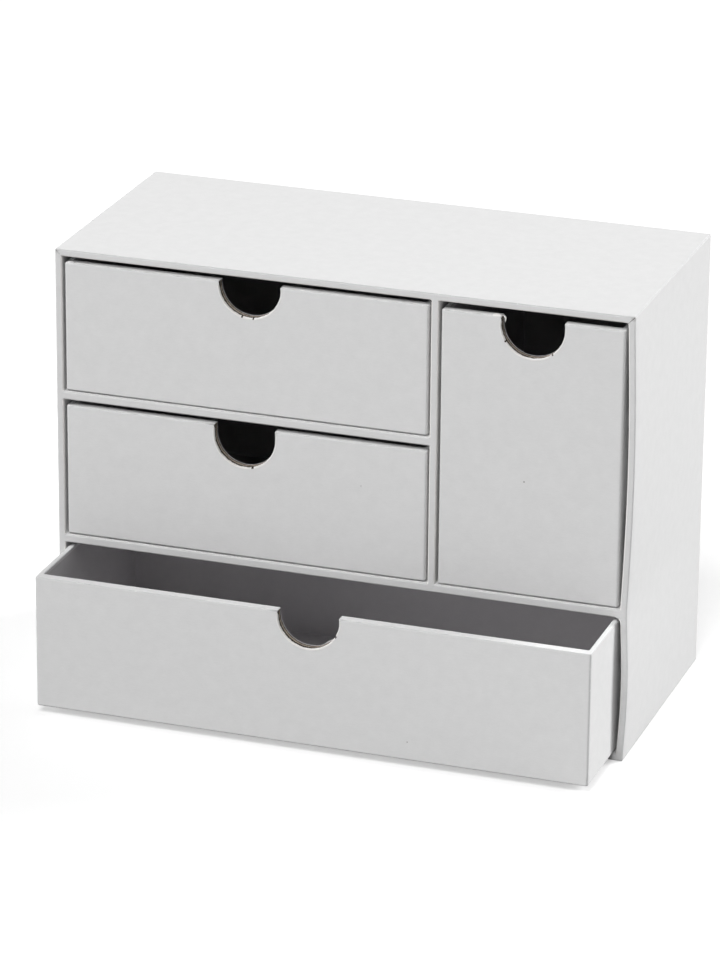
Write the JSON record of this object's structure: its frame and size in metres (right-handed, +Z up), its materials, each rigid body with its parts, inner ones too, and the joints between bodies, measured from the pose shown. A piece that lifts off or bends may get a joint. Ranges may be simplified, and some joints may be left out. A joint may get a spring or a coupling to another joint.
{
  "type": "desktop mini drawers",
  "caption": "White paper-covered board desktop mini chest: two wide drawers beside one tall drawer over a full-width drawer, thumb notches in the fronts.",
  "frame": {"origin": "middle of the case's footprint, on the underside it stands on", "axes": "+Z up, -Y out of the front, the way the drawers pull out, +X to the right seen from the front, where the tall drawer is"},
  "size_m": [0.2515, 0.1515, 0.194],
  "materials": {
    "case_cover_paper": "white uncoated cover paper, matt",
    "case_lining_paper": "white uncoated lining paper, matt",
    "drawer_cover_paper": "white uncoated cover paper, matt",
    "drawer_lining_paper": "white uncoated lining paper, matt",
    "greyboard": "raw brown-grey board, fibrous die-cut edges"
  },
  "bodies": {
    "case": {"case_top_board": "greyboard", "case_bottom_board": "greyboard", "case_left_board": "greyboard", "case_right_board": "greyboard", "case_back_board": "greyboard", "case_wrap_paper": "case_cover_paper", "case_base_paper": "case_cover_paper", "case_back_paper": "case_cover_paper", "case_lining_paper": "case_lining_paper", "long_shelf_board": "greyboard", "long_shelf_paper": "case_cover_paper", "divider_board": "greyboard", "divider_paper": "case_cover_paper", "short_shelf_board": "greyboard", "short_shelf_paper": "case_cover_paper"},
    "top_drawer": {"top_drawer_front_board": "greyboard", "top_drawer_front_backing_board": "greyboard", "top_drawer_left_board": "greyboard", "top_drawer_right_board": "greyboard", "top_drawer_back_board": "greyboard", "top_drawer_base_board": "greyboard", "top_drawer_cover_paper": "drawer_cover_paper", "top_drawer_lining_paper": "drawer_lining_paper"},
    "middle_drawer": {"middle_drawer_front_board": "greyboard", "middle_drawer_front_backing_board": "greyboard", "middle_drawer_left_board": "greyboard", "middle_drawer_right_board": "greyboard", "middle_drawer_back_board": "greyboard", "middle_drawer_base_board": "greyboard", "middle_drawer_cover_paper": "drawer_cover_paper", "middle_drawer_lining_paper": "drawer_lining_paper"},
    "tall_drawer": {"tall_drawer_front_board": "greyboard", "tall_drawer_front_backing_board": "greyboard", "tall_drawer_left_board": "greyboard", "tall_drawer_right_board": "greyboard", "tall_drawer_back_board": "greyboard", "tall_drawer_base_board": "greyboard", "tall_drawer_cover_paper": "drawer_cover_paper", "tall_drawer_lining_paper": "drawer_lining_paper"},
    "bottom_drawer": {"bottom_drawer_front_board": "greyboard", "bottom_drawer_front_backing_board": "greyboard", "bottom_drawer_left_board": "greyboard", "bottom_drawer_right_board": "greyboard", "bottom_drawer_back_board": "greyboard", "bottom_drawer_base_board": "greyboard", "bottom_drawer_cover_paper": "drawer_cover_paper", "bottom_drawer_lining_paper": "drawer_lining_paper"}
  },
  "joints": [
    {"name": "top_drawer_slide", "type": "slide", "parent": "case", "child": "top_drawer", "axis": [0, -1, 0], "range_m": [0, 0.088]},
    {"name": "middle_drawer_slide", "type": "slide", "parent": "case", "child": "middle_drawer", "axis": [0, -1, 0], "range_m": [0, 0.088]},
    {"name": "tall_drawer_slide", "type": "slide", "parent": "case", "child": "tall_drawer", "axis": [0, -1, 0], "range_m": [0, 0.088]},
    {"name": "bottom_drawer_slide", "type": "slide", "parent": "case", "child": "bottom_drawer", "axis": [0, -1, 0], "range_m": [-0.0369, 0.0511]}
  ]
}
